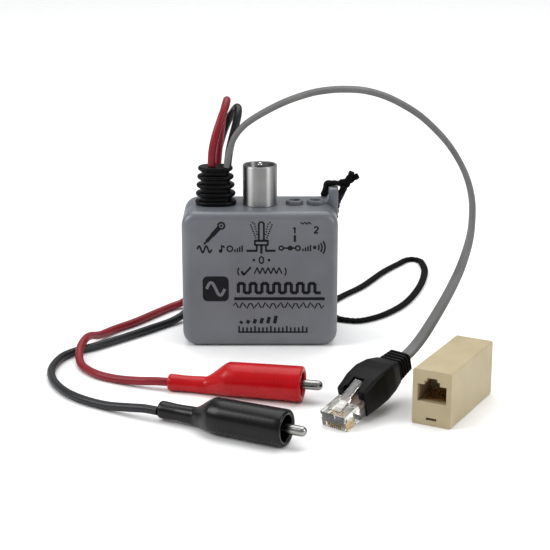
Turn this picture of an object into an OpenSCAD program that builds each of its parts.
// Tone generator test set: a clamshell case with a guarded toggle, two clip leads,
// a modular cord with its plug, a wrist lanyard and a separate in-line coupler.
// Millimetres. Origin at the centre of the case's base, +X right, +Y back, +Z up.

/* [Case] */
// Width of the case
case_w = 68; // [66:1:72]
// Depth of the case, front to back
case_d = 33; // [32:0.5:35]
// Height of the case
case_h = 61; // [60:0.5:64]
// Wall thickness of both shells
wall = 2; // [1.6:0.1:2.2]
// Corner radius of the case seen from the front
corner_r = 6.5; // [4:0.5:7]
// Width of the soft bevel round the front and back faces
face_bevel = 2.2; // [1:0.1:3]

/* [Toggle switch] */
// Outside diameter of the metal guard tube
guard_od = 15.2; // [14:0.1:16]
// Inside diameter of the guard tube
guard_id = 12.8; // [12.2:0.1:12.8]
// Height of the guard tube above the case
guard_h = 17.7; // [17:0.1:19]
// Radius of the lever's ball end
lever_ball_r = 1.4; // [1.2:0.1:1.6]

/* [Cords] */
// Diameter of each clip lead
lead_d = 3.5; // [3:0.1:3.6]
// Width of the flat modular cord
flat_w = 5.2; // [4.8:0.1:5.6]
// Thickness of the flat modular cord
flat_t = 2.5; // [2:0.1:2.6]
// Width of the braided lanyard
braid_w = 3.2; // [2.6:0.1:3.4]
// Thickness of the braided lanyard
braid_t = 1.6; // [1.2:0.1:1.7]

/* [Clips] */
// Length of a clip's insulating boot
boot_l = 56; // [54:1:58]
// Outside diameter of the boot's mouth
mouth_d = 14.4; // [14:0.1:15]
// Inside diameter of the boot's mouth
mouth_id = 12; // [11.8:0.1:12.2]
// Outside diameter of the boot's neck
neck_d = 7; // [6.6:0.1:7.4]
// How far the jaws reach out of the mouth
jaw_out = 8; // [6:0.5:9]

/* [Coupler] */
// Width of the coupler
coupler_w = 16; // [15.6:0.1:17]
// Length of the coupler
coupler_l = 44; // [38:1:44]
// Height of the coupler
coupler_h = 22.5; // [22:0.5:24]

/* [Hidden] */
$fn = 48;
eps = 0.01;

front_y = -case_d / 2;
back_y = case_d / 2;
inner_w = case_w - 2 * wall;
inner_front_y = front_y + wall;
inner_back_y = back_y - wall;

// Places along the case's top
relief_x = -19.5;
led_x = [15.2, 24.4];
lug_x0 = case_w / 2 - 3.7;
lug_w = 4.2;
lug_d = 8;
lug_h = 6.8;
lug_hole_r = 1.7;
lug_hole_y = 4;
lug_hole_z = case_h + 3.7;

// Strain relief: five rings that narrow upwards
relief_h = 17;
relief_rings = 5;
relief_ring_t = 2;
relief_base_w = 18.4;
relief_top_w = 15.4;
relief_depth_less = 4.5;
relief_gap_w = 14;
relief_gap_d = 9.5;

// Case screws
boss_x = case_w / 2 - 3.8;
boss_z = [8, 53];
boss_r = 2.9;
screw_r = 1.4;
screw_head_r = 2.6;
screw_head_l = 2.2;

// Nine volt battery and its compartment
bat_w = 48.5;
bat_d = 17.5;
bat_h = 26.5;
bat_x0 = -26.5;
bat_z0 = 4.2;
bat_y0 = inner_back_y - 0.3 - bat_d;
door_gap = 0.3;
door_x0 = -25.5;
door_x1 = 22.5;
door_z0 = 3.8;
door_z1 = 31;
door_screw_z = door_z1 + 2.5;

// Circuit board
board_w = 52;
board_h = 36;
board_t = 1.6;
board_y = inner_front_y + 1;
board_z0 = 5;
board_back_y = board_y + board_t;

// Switch
switch_w = 13;
switch_d = 12.5;
switch_z0 = 44;
switch_z1 = case_h - wall - 1.5;
pivot_z = case_h - 1;
bushing_r = 3.15;
bushing_top = case_h + 6;
guard_floor = 1.2;

// Clip, along its own axis from the lead's end (x = 0) to the jaw tips
clip_axis_z = mouth_d / 2;
neck_drop = mouth_d / 2 - neck_d / 2;
flare_x0 = 14;
flare_x1 = 24;
bore_x0 = 25.5;
pin_x = 40;
pin_r = 0.8;
pin_play = 0.05;
sheet = 0.6;
jaw_half_h = 2.5;
fixed_w = 5.6;
moving_w = 4;
nose_x = boot_l + jaw_out;
nose_r = 2;
nose_l = 17;
nose_gap = 0.7;
plate_x1 = nose_x - nose_l + 1.5;
tooth_pitch = 1.6;

// Where each clip lies: the boot's rear end, its heading and its roll
red_at = [-36.7, -70.2, 0];
red_heading = -12.8;
red_roll = 0;
black_at = [-38.8, -103.8, 0];
black_heading = -26.9;
black_roll = 35;

// Plug, from its nose (y = 0) to the boot's rear
plug_at = [29.5, -111.5, 0];
plug_pitch = 15;
plug_heading = -40;
plug_w = 11.68;
plug_l = 21.5;
plug_h = 6.6;
plug_contact_pitch = 1.02;
plug_boot_y0 = 12.5;
plug_boot_l = 33.5;
latch_tilt = 12;
latch_y = 1.8;
latch_z = plug_h + 0.7;
latch_t = 0.9;

// Coupler place
coupler_at = [76.9, -89.7, 0];
coupler_heading = -28;
coupler_wall = 1.4;
coupler_face = 2.2;
socket_w = 11.9;
socket_z0 = 9.6;
socket_h = 7;
socket_depth = 13.5;

// Cord routes, chosen by hand
red_route = [
    [-21.2, -0.5, 78], [-20.8, 0, 84.5], [-19.4, 1, 91], [-17.2, 3, 97.5], [-15.2, 7, 102.7],
    [-14.6, 11.5, 104.8], [-15, 16, 103.2], [-16.2, 19.3, 98.5], [-17.6, 20.8, 90], [-18.9, 21.3, 79],
    [-20.3, 22.3, 65], [-22.5, 25.5, 52], [-26, 29, 41], [-28.8, 31.5, 31], [-29.8, 34, 22], [-31, 37, 13],
    [-32.5, 38.5, 8], [-37, 39.5, 3], [-43, 35, 1.8], [-50, 24.5, 1.8], [-57.5, 13, 1.8], [-66, 2.5, 1.8],
    [-71.5, -8, 2.6], [-74.8, -17, 5.2], [-76.3, -24.5, 6], [-77.5, -32, 4.6], [-76.8, -40, 2.4],
    [-74, -48, 1.8], [-67.5, -56.5, 1.8], [-59, -62, 1.8], [-49.5, -66.5, 2.6], [-42.5, -68.9, 3.4],
    [-36.7, -70.2, 3.5]
];
black_route = [
    [-14.2, 2.6, 78], [-13.4, 3.2, 84], [-12, 4.3, 90], [-10.5, 6.5, 95.5], [-9.6, 10, 99.8],
    [-10, 14.5, 101.2], [-11.4, 19, 99.3], [-14, 22.8, 94.5], [-16.8, 25, 87.5], [-19.3, 25.6, 79],
    [-23.6, 25.3, 66], [-26, 24, 54], [-28, 23, 42], [-28.7, 22, 30], [-29.5, 22.5, 19.5], [-31, 22.5, 10.5],
    [-35, 20, 4], [-41, 13.5, 1.9], [-50, 3, 1.8], [-60, -8.5, 1.8], [-71.5, -20.5, 1.8], [-79, -26.5, 1.8],
    [-84.5, -34, 1.8], [-87, -44.5, 1.8], [-87, -54.5, 1.8], [-84, -66, 1.8], [-78, -77, 1.8],
    [-70, -85.5, 1.8], [-60, -92.5, 2], [-50.3, -98, 3.3], [-44.2, -101.1, 4.1], [-38.8, -103.8, 4.17]
];
flat_route = [
    [-14.6, -1.9, 78], [-13.2, -1.9, 84.9], [-11, -2.2, 91], [-6.6, -2.9, 96.6], [1, -4.2, 102],
    [10.8, -6.5, 107.4], [20.6, -9.5, 111.4], [27.8, -11.5, 113.2], [35.5, -13, 114], [45, -15, 113.7],
    [55, -17.5, 111], [66, -20, 105.2], [74, -22.5, 98.6], [80, -25, 92], [84.5, -28, 85],
    [87.3, -31, 78.5], [88.7, -34.5, 72], [88.7, -38.5, 66], [87.7, -43, 59], [85.5, -48, 52.5],
    [82, -54, 45.5], [77.5, -60, 38.5], [72, -65, 30.5], [66.3, -69.2, 22.7], [61.2, -73.8, 18],
    [57.3, -78.4, 16.3]
];
braid_route = [
    [37.6, 5.6, 66.8], [36.9, 9.5, 64.2], [35.9, 14, 61.2], [34.6, 18.2, 57], [33.6, 19.6, 50],
    [33.2, 19.8, 42], [32.5, 20, 30], [32, 20, 18], [32, 20.5, 8], [34, 20.8, 2], [39.5, 17.5, 0.85],
    [47, 17, 0.85], [58, 26, 0.85], [69, 43.5, 0.85], [78, 69.5, 0.85], [83, 95.5, 0.85],
    [83, 112, 0.85], [78.5, 119, 0.85], [72, 112.5, 0.85], [62, 96, 0.85], [50, 71, 0.85],
    [39, 54, 0.85], [31, 39, 0.85], [28, 28, 2.2], [27.7, 21.5, 10], [27.8, 19.5, 22],
    [28, 19, 36], [28.3, 18.8, 48], [28.6, 18.6, 56], [28.9, 17.4, 61.4], [29.3, 14, 65],
    [29.4, 10, 67.4], [29.9, 6.6, 69], [31.6, 4.4, 69.8], [34, 4, 70], [36.2, 4, 69.4]
];

// ---- vector and curve helpers ----
function unit(v) = v / norm(v);
function flatten_against(v, t) = unit(v - (v * t) * t);
function curve_point(a, b, c, d, t) =
    0.5 * (2 * b + (c - a) * t + (2 * a - 5 * b + 4 * c - d) * t * t + (3 * b - a - 3 * c + d) * t * t * t);
function at(p, i) = p[min(max(i, 0), len(p) - 1)];
function smooth(p, steps) = [
    for (i = [0 : len(p) - 2])
        for (s = [0 : steps - 1])
            curve_point(at(p, i - 1), p[i], p[i + 1], at(p, i + 2), s / steps),
    p[len(p) - 1]
];
function tangents(p) = [for (i = [0 : len(p) - 1]) unit(at(p, i + 1) - at(p, i - 1))];
// Carries the starting side direction along the curve without twisting it.
function carried_sides(t, side0) = [
    for (i = 0, s = flatten_against(side0, t[0]); i < len(t);
         i = i + 1, s = i < len(t) ? flatten_against(s, t[i]) : s) s
];
function share(v) = min(max(v, 0), 1);
// A flat braid's sides: level on the floor, across the back where it hangs, front to back over the case.
function lying_sides(p, t) = [
    for (i = [0 : len(t) - 1])
        let (low = 1 - share(p[i][2] / 18), over = share((p[i][2] - 60) / 5), way = i < len(t) / 2 ? -1 : 1)
            flatten_against(low * cross([0, 0, 1], t[i]) + (1 - low) * way * [1 - over, over, 0], t[i])
];
// Turns a flat cord's side from one given direction to another over its last part.
function turned_sides(t, from, to, start) = [
    for (i = [0 : len(t) - 1])
        let (f = share((i / (len(t) - 1) - start) / (1 - start)))
            flatten_against((1 - f) * from + f * to, t[i])
];

module tube(points, sides_dir, w, h, sides) {
    t = tangents(points);
    rings = [
        for (i = [0 : len(points) - 1])
            for (k = [0 : sides - 1])
                let (a = 360 * (k + 0.5) / sides, n = cross(t[i], sides_dir[i]))
                    points[i] + sides_dir[i] * (w / 2 * cos(a)) + n * (h / 2 * sin(a))
    ];
    last = (len(points) - 1) * sides;
    walls = [
        for (i = [0 : len(points) - 2])
            for (k = [0 : sides - 1])
                [i * sides + k, (i + 1) * sides + k, (i + 1) * sides + (k + 1) % sides, i * sides + (k + 1) % sides]
    ];
    ends = [[for (k = [0 : sides - 1]) k], [for (k = [sides - 1 : -1 : 0]) last + k]];
    polyhedron(points = rings, faces = concat(walls, ends), convexity = 10);
}

// ---- shape helpers ----
module round_rect(w, h, r) {
    square([w - 2 * r, h], center = true);
    square([w, h - 2 * r], center = true);
    for (x = [-1, 1], y = [-1, 1])
        translate([x * (w / 2 - r), y * (h / 2 - r)]) circle(r);
}

// A plate standing in the XZ plane, from y0 to y1, with its lower edge at z0.
module upright_plate(w, h, r, y0, y1, z0 = 0) {
    translate([0, y1, z0 + h / 2]) rotate([90, 0, 0]) linear_extrude(y1 - y0) round_rect(w, h, r);
}

module stadium(w, d, h) {
    translate([-(w - d) / 2, -d / 2, 0]) cube([w - d, d, h]);
    for (x = [-1, 1]) translate([x * (w - d) / 2, 0, 0]) cylinder(d = d, h = h);
}

module along_y(x, y, z) translate([x, y, z]) rotate([-90, 0, 0]) children();

module at_bosses() for (x = [-boss_x, boss_x], z = boss_z) translate([x, 0, z]) children();

// ---- case ----
module top_openings() {
    translate([relief_x, 0, case_h - 2 * wall]) stadium(relief_gap_w + 0.2, relief_gap_d + 0.2, 3 * wall);
    translate([0, 0, case_h - 2 * wall]) cylinder(r = bushing_r + 0.15, h = 3 * wall);
    for (x = led_x) translate([x, 0, case_h - 2 * wall]) cylinder(r = 2.65, h = 3 * wall);
}

// Half of the case's outer form, with the soft bevel at its face.
module outer_half() {
    upright_plate(case_w, case_h, corner_r, -case_d / 2 + face_bevel, 0);
    hull() {
        upright_plate(case_w, case_h, corner_r, -case_d / 2 + face_bevel, -case_d / 2 + face_bevel + 0.1, $fn = 32);
        upright_plate(case_w - 2 * face_bevel + 1, case_h - 2 * face_bevel + 1, corner_r - 1,
                      -case_d / 2, -case_d / 2 + 0.1, face_bevel - 0.5, $fn = 32);
    }
}

module inner_half() {
    upright_plate(inner_w, case_h - 2 * wall, corner_r - wall, -case_d / 2 + wall, eps, wall);
}

module front_shell() color([0.48, 0.50, 0.53]) difference() {
    union() {
        difference() {
            outer_half();
            inner_half();
        }
        at_bosses() translate([0, inner_front_y - 0.5, 0]) rotate([-90, 0, 0])
            cylinder(r = boss_r, h = -inner_front_y + 0.5);
        for (x = [-20, 20]) along_y(x, inner_front_y - 0.5, board_z0 + board_h / 2)
            cylinder(r = 2, h = 1.5);
    }
    at_bosses() translate([0, -9, 0]) rotate([-90, 0, 0]) cylinder(r = screw_r, h = 9 + eps);
    for (x = [-20, 20]) along_y(x, inner_front_y - 1, board_z0 + board_h / 2)
        cylinder(r = 0.9, h = 3);
    top_openings();
}

module rear_shell() color([0.46, 0.48, 0.51]) difference() {
    union() {
        difference() {
            mirror([0, 1, 0]) outer_half();
            mirror([0, 1, 0]) inner_half();
        }
        at_bosses() rotate([-90, 0, 0]) cylinder(r = boss_r + 0.4, h = inner_back_y + 0.5);
        lug();
        door_post();
    }
    at_bosses() rotate([-90, 0, 0]) translate([0, 0, -eps]) cylinder(r = screw_r + 0.3, h = case_d);
    at_bosses() along_y(0, back_y - 4, 0) cylinder(r = screw_head_r + 0.3, h = 5);
    translate([door_x0 - door_gap, inner_back_y - 1, door_z0 - door_gap])
        cube([door_x1 - door_x0 + 2 * door_gap, wall + 2, door_z1 - door_z0 + 2 * door_gap]);
    translate([-6, inner_back_y - 1, door_z1 - 1]) cube([12, wall + 2, 6]);
    along_y(0, 6, door_screw_z) cylinder(r = 1.1, h = 12);
    top_openings();
}

module lug() difference() {
    union() {
        translate([lug_x0, 0.2, case_h - corner_r]) cube([lug_w, lug_d - 0.2, corner_r + lug_h - 1]);
        along_y(lug_x0 + 1.2, 0.2, case_h + lug_h - 1.2) cylinder(r = 1.2, h = lug_d - 0.2);
        along_y(lug_x0 + lug_w - 1.2, 0.2, case_h + lug_h - 1.2) cylinder(r = 1.2, h = lug_d - 0.2);
        translate([lug_x0 + 1.2, 0.2, case_h + lug_h - 2]) cube([lug_w - 2.4, lug_d - 0.2, 2]);
        translate([lug_x0 - 2.2, lug_d, case_h - 1]) rotate([90, 0, 0]) linear_extrude(lug_d - 0.2)
            polygon([[0, 0], [3, 0], [3, 4], [2.2, 3.4], [0.8, 1.6]]);
    }
    translate([lug_x0 - 3, lug_hole_y, lug_hole_z]) rotate([0, 90, 0]) cylinder(r = lug_hole_r, h = lug_w + 5);
}

// Pillar inside the rear shell that the battery door's screw bites into.
module door_post() {
    translate([-4, 8, door_z1 + 0.3]) cube([8, inner_back_y - 8, 5]);
}

module battery_door() color([0.45, 0.47, 0.50]) difference() {
    union() {
        translate([door_x0, inner_back_y, door_z0]) cube([door_x1 - door_x0, wall, door_z1 - door_z0]);
        translate([-5.7, inner_back_y, door_z1 - 0.5]) cube([11.4, wall, 5.2]);
        for (x = [-18, 14]) translate([x - 2.5, back_y - eps, door_z0 + 3]) cube([5, 0.3, 1.2]);
    }
    along_y(0, inner_back_y - 1, door_screw_z) cylinder(r = 1.3, h = 5);
    along_y(0, back_y - 1.2, door_screw_z) cylinder(r = 2.2, h = 3);
}

module battery_door_screw() color([0.75, 0.76, 0.78]) {
    along_y(0, 10, door_screw_z) cylinder(r = 0.95, h = back_y - 11);
    difference() {
        along_y(0, back_y - 1.1, door_screw_z) cylinder(r = 2, h = 1);
        translate([-2.5, back_y - 0.6, door_z1 + 2.2]) cube([5, 1, 0.6]);
    }
}

module case_screws() color([0.72, 0.73, 0.75]) at_bosses() {
    along_y(0, -8, 0) cylinder(r = screw_r, h = back_y - 4 + 8 + eps);
    difference() {
        along_y(0, back_y - 4, 0) cylinder(r = screw_head_r, h = screw_head_l);
        translate([-0.4, back_y - 3, -1.8]) cube([0.8, 2, 3.6]);
        translate([-1.8, back_y - 3, -0.4]) cube([3.6, 2, 0.8]);
    }
}

// ---- electronics ----
module circuit_board() color([0.10, 0.42, 0.22]) difference() {
    translate([-board_w / 2, board_y, board_z0]) cube([board_w, board_t, board_h]);
    for (x = [-20, 20]) along_y(x, board_y - 1, board_z0 + board_h / 2) cylinder(r = 1.2, h = 4);
}

module board_screws() color([0.72, 0.73, 0.75]) for (x = [-20, 20]) {
    along_y(x, inner_front_y - 0.6, board_z0 + board_h / 2) cylinder(r = 0.85, h = 0.6 + 1 + board_t);
    along_y(x, board_back_y, board_z0 + board_h / 2) cylinder(r = 1.9, h = 1.2);
}

module board_chips() color([0.08, 0.08, 0.09]) for (x = [-13, 3]) {
    translate([x, board_back_y + 0.5, 26]) cube([10, 3.2, 6.4]);
    for (i = [0 : 6], z = [25.4, 32.4 - 0.4])
        translate([x + 0.8 + 1.35 * i, board_back_y, z]) cube([0.5, 2, 1]);
}

module board_transformer() color([0.75, 0.62, 0.20]) {
    translate([11, board_back_y, 9]) cube([12, 5, 2.5]);
    translate([11, board_back_y, 17.5]) cube([12, 5, 2.5]);
    along_y(17, board_back_y, 14.5) cylinder(r = 3.2, h = 5);
}

module board_capacitors() color([0.12, 0.16, 0.40]) for (x = [-18, -10, -2])
    along_y(x, board_back_y, 12) cylinder(r = 3, h = 5.2);

module board_resistors() color([0.78, 0.66, 0.48]) for (i = [0 : 5])
    translate([-16 + 3 * i, board_back_y + 1, 18]) {
        cylinder(r = 0.9, h = 5);
        translate([0, 0, -1]) cylinder(r = 0.3, h = 7);
        for (z = [-1, 5.4]) translate([0, 0, z + 0.3]) rotate([90, 0, 0]) cylinder(r = 0.3, h = 1);
    }

// ---- switch ----
module switch_body() color([0.10, 0.22, 0.48]) difference() {
    translate([-switch_w / 2, -switch_d / 2, switch_z0]) cube([switch_w, switch_d, switch_z1 - switch_z0]);
    translate([0, 0, switch_z1 - 2]) cylinder(r = 2.6, h = 3);
}

module switch_terminals() color([0.80, 0.78, 0.68]) for (x = [-4.7, 0, 4.7], y = [-2.4, 2.4])
    translate([x - 0.6, y - 0.4, switch_z0 - 4]) cube([1.2, 0.8, 4]);

module switch_bushing() color([0.78, 0.79, 0.80]) difference() {
    translate([0, 0, switch_z1]) union() {
        cylinder(r = bushing_r, h = bushing_top - switch_z1);
        cylinder(r = 5, h = 1.2);
    }
    translate([0, 0, switch_z1 - 1]) cylinder(r = 2.3, h = bushing_top - switch_z1 + 2);
    translate([0, 0, pivot_z]) cylinder(r1 = 2.3, r2 = 2.78, h = bushing_top - pivot_z + eps);
}

module switch_nut() color([0.76, 0.77, 0.78]) translate([0, 0, case_h + guard_floor]) difference() {
    cylinder(d = 9.2, h = 2, $fn = 6);
    translate([0, 0, -1]) cylinder(r = bushing_r + 0.05, h = 4);
}

module switch_lever() color([0.82, 0.83, 0.84]) {
    tip_z = case_h + guard_h - 0.4;
    translate([0, 0, pivot_z]) sphere(r = 1.9);
    translate([0, 0, pivot_z]) rotate([90, 0, 0]) cylinder(r = 0.6, h = 4.2, center = true);
    translate([0, 0, pivot_z]) cylinder(r1 = 0.85, r2 = 0.95, h = tip_z - pivot_z);
    translate([0, 0, tip_z]) sphere(r = lever_ball_r);
}

module switch_guard() color([0.74, 0.74, 0.75]) translate([0, 0, case_h]) difference() {
    union() {
        cylinder(d = guard_od, h = guard_h - 0.4);
        translate([0, 0, guard_h - 0.4]) cylinder(d1 = guard_od, d2 = guard_od - 0.8, h = 0.4);
    }
    translate([0, 0, guard_floor]) cylinder(d = guard_id, h = guard_h);
    translate([0, 0, -1]) cylinder(r = bushing_r + 0.1, h = 4);
}

// ---- lamps ----
module led_bezels() color([0.42, 0.44, 0.46]) for (x = led_x) translate([x, 0, 0]) difference() {
    union() {
        translate([0, 0, case_h]) cylinder(r = 3.85, h = 1.8);
        translate([0, 0, case_h - wall]) cylinder(r = 2.6, h = wall);
    }
    translate([0, 0, case_h - wall - 1]) cylinder(r = 1.6, h = wall + 5);
    translate([0, 0, case_h + 0.4]) cylinder(r = 2.4, h = 3);
}

module led(x) {
    translate([x, 0, case_h - wall - 3]) cylinder(r = 1.5, h = wall + 2.6);
    translate([x, 0, case_h - 0.4]) sphere(r = 1.5);
    translate([x, 0, case_h - wall - 4]) cylinder(r = 1.9, h = 1);
    for (dx = [-1.27, 1.27]) translate([x + dx, 0, case_h - wall - 9]) cylinder(r = 0.3, h = 5);
}

module led_l1() color([0.75, 0.20, 0.18]) led(led_x[0]);

module led_l2() color([0.25, 0.60, 0.25]) led(led_x[1]);

// ---- strain relief and tie ----
module strain_relief() color([0.06, 0.06, 0.07]) translate([relief_x, 0, 0]) {
    pitch = (relief_h - relief_ring_t) / (relief_rings - 1);
    for (i = [0 : relief_rings - 1]) {
        w = relief_base_w + (relief_top_w - relief_base_w) * i / (relief_rings - 1);
        translate([0, 0, case_h + pitch * i]) stadium(w, w - relief_depth_less, relief_ring_t);
        if (i < relief_rings - 1) translate([0, 0, case_h + pitch * i])
            stadium(w - 3.6, w - relief_depth_less - 3.6, pitch);
    }
    translate([0, 0, case_h - wall]) stadium(relief_gap_w, relief_gap_d, wall);
    translate([0, 0, case_h - wall - 2]) stadium(relief_base_w - 2.6, relief_base_w - 6, 2);
}

// The cords' inner ends, running down through the tie.
module cord_tails() color([0.25, 0.25, 0.26]) for (x = [-2.6, 0.6, 3.4])
    translate([relief_x + x, 0, case_h - wall - 15]) cylinder(r = 1.3, h = 13);

module cable_tie() color([0.85, 0.85, 0.82]) translate([relief_x, 0, case_h - wall - 7]) difference() {
    union() {
        stadium(11, 7, 2.4);
        translate([5, -1.6, -0.6]) cube([3, 3.2, 3.6]);
    }
    translate([0, 0, -1]) stadium(9.4, 5.4, 5);
}

// ---- battery ----
module battery_9v() color([0.18, 0.20, 0.24]) {
    translate([bat_x0, bat_y0, bat_z0]) cube([bat_w - 2, bat_d, bat_h]);
    for (z = [7, 19.5]) translate([bat_x0 + bat_w - 2, bat_y0 + bat_d / 2, bat_z0 + z])
        rotate([0, 90, 0]) cylinder(r = z < 10 ? 2.8 : 3.8, h = 2);
}

module battery_snap() color([0.09, 0.09, 0.10]) {
    snap_x = bat_x0 + bat_w + 0.05;
    translate([snap_x, bat_y0 + 2.5, bat_z0 + 1.5]) cube([1.8, 12.5, 23.5]);
    for (z = [7, 19.5]) translate([snap_x + 1.8, bat_y0 + bat_d / 2, bat_z0 + z])
        rotate([0, 90, 0]) cylinder(r = 3, h = 1);
}

// Two thin wires from the snap up to the board's edge.
module snap_leads() for (i = [0, 1]) color(i == 0 ? [0.75, 0.08, 0.08] : [0.05, 0.05, 0.05]) {
    x = bat_x0 + bat_w + 1 + 0.2;
    y = bat_y0 + 4 + 3 * i;
    z = bat_z0 + 25;
    translate([x, y, z]) cylinder(r = 0.6, h = 6 + 2 * i);
    translate([x, y, z + 6 + 2 * i]) sphere(r = 0.6);
    translate([x, y, z + 6 + 2 * i]) rotate([90, 0, 0]) cylinder(r = 0.6, h = y - board_back_y);
}

// ---- cords ----
module red_lead() color([0.52, 0.10, 0.16]) {
    p = smooth(red_route, 2);
    tube(p, carried_sides(tangents(p), [1, 0, 0]), lead_d, lead_d, 8);
}

module black_lead() color([0.07, 0.07, 0.08]) {
    p = smooth(black_route, 2);
    tube(p, carried_sides(tangents(p), [1, 0, 0]), lead_d, lead_d, 8);
}

module modular_cable() color([0.45, 0.45, 0.46]) {
    p = smooth(flat_route, 2);
    tube(p, turned_sides(tangents(p), [0, -1, 0], [0.77, -0.64, 0], 0.7), flat_w, flat_t, 8);
}

module lanyard_cord() color([0.05, 0.05, 0.06]) {
    p = smooth(braid_route, 2);
    tube(p, lying_sides(p, tangents(p)), braid_w, braid_t, 8);
}

// The knot beside the lug, its two cut tails and the strand through the lug's hole.
module lanyard_knot() color([0.05, 0.05, 0.06]) {
    translate([37, lug_hole_y, 68.4]) sphere(r = 2.4);
    translate([38.8, lug_hole_y, 69.8]) sphere(r = 2.2);
    translate([28.6, lug_hole_y, lug_hole_z]) rotate([0, 90, 0]) cylinder(r = 1.2, h = 8);
    translate([36.4, lug_hole_y, lug_hole_z]) rotate([0, 12, 0]) cylinder(r = 1.3, h = 3);
    translate([38.4, lug_hole_y, 69.3]) rotate([0, 21, 0]) cylinder(r = 1.5, h = 6);
    translate([38.6, lug_hole_y, 69.3]) rotate([0, 54, 0]) cylinder(r = 1.5, h = 5.8);
}

// ---- clips ----
module place_clip(p, heading, roll) {
    translate(p) rotate([0, 0, heading]) translate([0, 0, clip_axis_z]) rotate([roll, 0, 0]) children();
}

module place_red() place_clip(red_at, red_heading, red_roll) children();

module place_black() place_clip(black_at, black_heading, black_roll) children();

module along_x(x, y, z) translate([x, y, z]) rotate([0, 90, 0]) children();

// The insulating boot: narrow neck, one-sided shoulder, round thick-walled mouth.
module clip_boot() difference() {
    union() {
        along_x(0, 0, -neck_drop) cylinder(d = neck_d, h = flare_x0 + 1);
        hull() {
            along_x(flare_x0, 0, -neck_drop) cylinder(d = neck_d, h = 0.5, $fn = 32);
            along_x(flare_x1, 0, -0.3) cylinder(d = mouth_d - 0.6, h = 0.5, $fn = 32);
        }
        along_x(flare_x1, 0, 0) cylinder(d1 = mouth_d - 0.6, d2 = mouth_d, h = boot_l - flare_x1 - 2);
        along_x(boot_l - 2, 0, 0) cylinder(d = mouth_d, h = 2);
    }
    along_x(-1, 0, -neck_drop) cylinder(r = 1.5, h = flare_x0);
    along_x(flare_x0 - 2, 0, -neck_drop) cylinder(r = 2.4, h = bore_x0 - flare_x0 + 3);
    along_x(bore_x0, 0, 0) cylinder(d = mouth_id, h = boot_l);
}

module fixed_jaw() difference() {
    union() {
        translate([bore_x0, -fixed_w / 2, -jaw_half_h]) cube([plate_x1 - bore_x0, fixed_w, sheet]);
        for (y = [-fixed_w / 2, fixed_w / 2 - sheet]) {
            translate([bore_x0, y, -jaw_half_h]) cube([plate_x1 - bore_x0, sheet, 1.7]);
            translate([pin_x, y + sheet, 0]) rotate([90, 0, 0]) cylinder(r = 1.9, h = sheet);
            translate([pin_x - 1.9, y, -jaw_half_h]) cube([3.8, sheet, jaw_half_h]);
        }
        nose(-1);
        for (i = [0 : 4]) translate([nose_x - 3.6 - tooth_pitch * i, -1.2, -1]) cube([0.7, 2.4, 0.97]);
    }
    translate([pin_x, fixed_w, 0]) rotate([90, 0, 0]) cylinder(r = pin_r, h = 2 * fixed_w);
}

// One half of the round nose, with a gap that closes at the tip. side is -1 below and 1 above.
module nose(side) difference() {
    union() {
        along_x(nose_x - nose_l, 0, 0) cylinder(r = nose_r, h = nose_l - nose_r);
        translate([nose_x - nose_r, 0, 0]) sphere(r = nose_r);
    }
    translate([0, 5, 0]) rotate([90, 0, 0]) linear_extrude(10) polygon([
        [nose_x - nose_l - 1, side * nose_gap], [nose_x - 1.2, side * 0.06], [nose_x + 1, side * 0.06],
        [nose_x + 1, -side * 5], [nose_x - nose_l - 1, -side * 5]
    ]);
}

module moving_jaw() difference() {
    union() {
        translate([bore_x0 + 0.8, -moving_w / 2, jaw_half_h - sheet])
            cube([plate_x1 - bore_x0 - 0.8, moving_w, sheet]);
        for (y = [-moving_w / 2, moving_w / 2 - sheet]) {
            translate([bore_x0 + 0.8, y, 1.2]) cube([plate_x1 - bore_x0 - 0.8, sheet, jaw_half_h - 1.2]);
            translate([pin_x, y + sheet, 0]) rotate([90, 0, 0]) cylinder(r = 1.8, h = sheet);
            translate([pin_x - 1.8, y, 0]) cube([3.6, sheet, jaw_half_h]);
        }
        nose(1);
    }
    translate([pin_x, moving_w, 0]) rotate([90, 0, 0]) cylinder(r = pin_r + pin_play, h = 2 * moving_w);
}

module clip_pin() translate([pin_x, fixed_w / 2 + 0.3, 0]) rotate([90, 0, 0]) {
    cylinder(r = pin_r, h = fixed_w + 0.6);
    for (z = [-0.3, fixed_w + 0.6]) translate([0, 0, z]) cylinder(r = pin_r + 0.5, h = 0.3);
}

// The wound coil round the pin and the leg that bears on the fixed jaw.
module clip_spring() {
    translate([pin_x, 1.2, 0]) rotate([90, 0, 0]) difference() {
        cylinder(r = 1.6, h = 2.4);
        translate([0, 0, -1]) cylinder(r = 1.06, h = 5);
    }
    translate([pin_x - 9, -0.3, -jaw_half_h + sheet]) cube([9, 0.6, 0.7]);
}

module clip_crimp() along_x(flare_x0, 0, -neck_drop) {
    difference() {
        cylinder(r = 2.1, h = bore_x0 - flare_x0 + 2.6);
        translate([0, 0, -1]) cylinder(r = 1.2, h = 20);
    }
    translate([0, 0, -flare_x0]) cylinder(r = 1.1, h = flare_x0 + 6);
}

module red_boot() color([0.75, 0.05, 0.08]) place_red() clip_boot();
module red_fixed_jaw() color([0.78, 0.78, 0.78]) place_red() fixed_jaw();
module red_moving_jaw() color([0.80, 0.80, 0.80]) place_red() moving_jaw();
module red_pin() color([0.62, 0.62, 0.63]) place_red() clip_pin();
module red_spring() color([0.55, 0.55, 0.56]) place_red() clip_spring();
module red_crimp() color([0.72, 0.60, 0.40]) place_red() clip_crimp();
module black_boot() color([0.06, 0.06, 0.07]) place_black() clip_boot();
module black_fixed_jaw() color([0.78, 0.78, 0.78]) place_black() fixed_jaw();
module black_moving_jaw() color([0.80, 0.80, 0.80]) place_black() moving_jaw();
module black_pin() color([0.62, 0.62, 0.63]) place_black() clip_pin();
module black_spring() color([0.55, 0.55, 0.56]) place_black() clip_spring();
module black_crimp() color([0.72, 0.60, 0.40]) place_black() clip_crimp();

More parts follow.
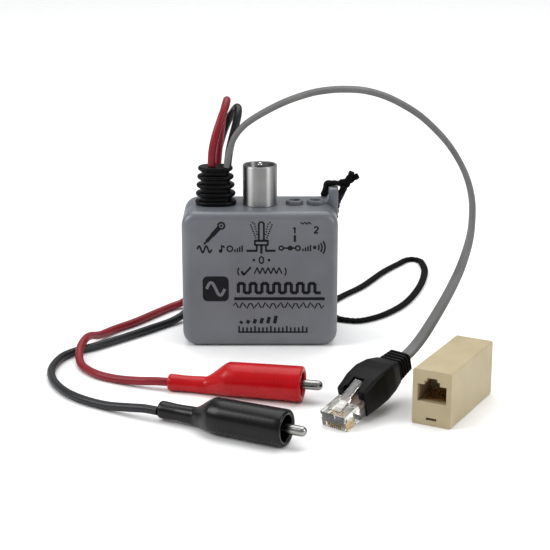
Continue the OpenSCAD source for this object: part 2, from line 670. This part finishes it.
// ---- modular plug ----
module place_plug() translate(plug_at) rotate([plug_pitch, 0, plug_heading]) children();

function contact_x(i) = (i - 3.5) * plug_contact_pitch;

module plug_body() color([0.80, 0.82, 0.82, 0.6]) place_plug() difference() {
    union() {
        translate([-plug_w / 2, 0, 0]) cube([plug_w, plug_l, plug_h]);
        translate([-3, 0.6, plug_h - eps]) cube([6, 1.2, 0.15]);
    }
    for (i = [0 : 7]) translate([contact_x(i) - 0.27, -1, -1]) cube([0.54, 8, 3.4]);
    translate([-4.6, 10, 1.3]) cube([9.2, plug_l, 4]);
    for (x = [-plug_w / 2 - 1, plug_w / 2 - 0.5]) translate([x, -1, 3.6]) cube([1.5, 2.2, 1.6]);
}

module plug_contacts() color([0.85, 0.68, 0.25]) place_plug() for (i = [0 : 7])
    translate([contact_x(i) - 0.17, 0.6, 0.35]) cube([0.34, 5.6, 1.9]);

module plug_wires() color([0.70, 0.45, 0.20]) place_plug() for (i = [0 : 7])
    translate([contact_x(i), 10.2, 3.2]) rotate([-90, 0, 0]) cylinder(r = 0.42, h = 8);

module plug_latch() color([0.82, 0.84, 0.84, 0.6]) place_plug()
    translate([0, latch_y, latch_z]) rotate([latch_tilt, 0, 0]) {
        rotate([0, 90, 0]) translate([0, 0, -3]) cylinder(r = latch_t / 2 - 0.02, h = 6);
        translate([-3, 0, -latch_t / 2]) cube([6, 7.5, latch_t]);
        translate([-1.65, 7, -latch_t / 2]) cube([3.3, 10, latch_t]);
    }

// Outer form of the plug's boot at one station along its length.
module boot_station(y, w, z0, z1) {
    translate([0, y, (z0 + z1) / 2]) rotate([90, 0, 0]) linear_extrude(0.1) round_rect(w, z1 - z0, 1.6, $fn = 24);
}

module plug_boot() color([0.05, 0.05, 0.06]) place_plug() {
    rear_y = plug_boot_y0 + plug_boot_l;
    rib_y0 = rear_y - 9;
    difference() {
        union() {
            hull() {
                boot_station(plug_boot_y0 + 0.1, 13.6, -0.9, 9.6);
                boot_station(25, 15, -1.2, 12.6);
            }
            hull() {
                boot_station(25, 15, -1.2, 12.6);
                boot_station(rib_y0 + 0.1, 11.4, -0.2, 9.6);
            }
            translate([-4.6, rib_y0, 1.2]) cube([9.2, rear_y - rib_y0, 6.6]);
            for (i = [0 : 4]) translate([-5.6 + 0.12 * i, rib_y0 + 0.2 + 1.8 * i, 0.2 + 0.1 * i])
                cube([11.2 - 0.24 * i, 1.1, 8.8 - 0.2 * i]);
        }
        translate([-plug_w / 2 - 0.15, plug_boot_y0 - 1, -0.15])
            cube([plug_w + 0.3, plug_l - plug_boot_y0 + 1.3, plug_h + 0.3]);
        translate([-2.6, plug_boot_y0 - 1, plug_h]) cube([5.2, 10, 5.4]);
        translate([-3.6, plug_boot_y0 - 1, plug_h]) cube([7.2, 3, 8]);
    }
}

// ---- coupler ----
module place_coupler() translate(coupler_at) rotate([0, 0, coupler_heading]) children();

// The stepped opening for a plug and its latch, running back from y = 0.
module socket_space(depth) {
    translate([-socket_w / 2, 0, socket_z0]) cube([socket_w, depth, socket_h]);
    translate([-3.2, 0, socket_z0 + socket_h - eps]) cube([6.4, depth, 1.6]);
    translate([-2.1, 0, socket_z0 + socket_h + 1.5]) cube([4.2, depth, 1.3]);
}

module coupler_shell() color([0.76, 0.72, 0.60]) place_coupler() difference() {
    translate([0, -coupler_l / 2, coupler_h / 2]) rotate([-90, 0, 0])
        linear_extrude(coupler_l) round_rect(coupler_w, coupler_h, 0.8);
    translate([-coupler_w / 2 + coupler_wall, -coupler_l / 2 + coupler_face, coupler_wall])
        cube([coupler_w - 2 * coupler_wall, coupler_l, coupler_h - 2 * coupler_wall]);
    translate([0, -coupler_l / 2 - 1, 0]) socket_space(coupler_face + 2);
    translate([-2.2, -coupler_l / 2 - 1, 2.1]) cube([4.4, coupler_face + 2, 1.1]);
}

module coupler_core() color([0.72, 0.68, 0.56]) place_coupler() {
    w = coupler_w - 2 * coupler_wall - 0.2;
    h = coupler_h - 2 * coupler_wall - 0.2;
    z0 = coupler_wall + 0.1;
    front = -coupler_l / 2 + coupler_face + 0.1;
    difference() {
        union() {
            translate([-w / 2, front, z0]) cube([w, coupler_l - coupler_face - 0.1, 4]);
            translate([-w / 2, front, z0]) cube([w, 14, h]);
            translate([-w / 2, coupler_l / 2 - 14, z0]) cube([w, 14, h]);
        }
        translate([0, front - 1, 0]) socket_space(socket_depth - 1);
        mirror([0, 1, 0]) translate([0, -coupler_l / 2 - 1, 0]) socket_space(socket_depth + 1);
        translate([-2.2, front - 1, 2.1 - 1]) cube([4.4, 2, 2.1]);
    }
}

module coupler_board() color([0.12, 0.40, 0.22]) place_coupler()
    translate([-5.6, -3.4, coupler_wall + 4.2]) cube([11.2, 9, 1.4]);

module jack_contacts() for (i = [0 : 7])
    translate([contact_x(i), -coupler_l / 2 + 3.2, socket_z0 + 0.35]) rotate([-79, 0, 0])
        cylinder(r = 0.22, h = 8.6);

module coupler_contacts_a() color([0.85, 0.68, 0.25]) place_coupler() jack_contacts();

module coupler_contacts_b() color([0.85, 0.68, 0.25]) place_coupler() rotate([0, 0, 180]) jack_contacts();

front_shell();
rear_shell();
battery_door();
battery_door_screw();
case_screws();
circuit_board();
board_screws();
board_chips();
board_transformer();
board_capacitors();
board_resistors();
switch_body();
switch_terminals();
switch_bushing();
switch_nut();
switch_lever();
switch_guard();
led_bezels();
led_l1();
led_l2();
strain_relief();
cable_tie();
cord_tails();
battery_9v();
battery_snap();
snap_leads();
red_lead();
black_lead();
modular_cable();
lanyard_cord();
lanyard_knot();
red_boot();
red_fixed_jaw();
red_moving_jaw();
red_pin();
red_spring();
red_crimp();
black_boot();
black_fixed_jaw();
black_moving_jaw();
black_pin();
black_spring();
black_crimp();
plug_body();
plug_latch();
plug_contacts();
plug_wires();
plug_boot();
coupler_shell();
coupler_core();
coupler_board();
coupler_contacts_a();
coupler_contacts_b();
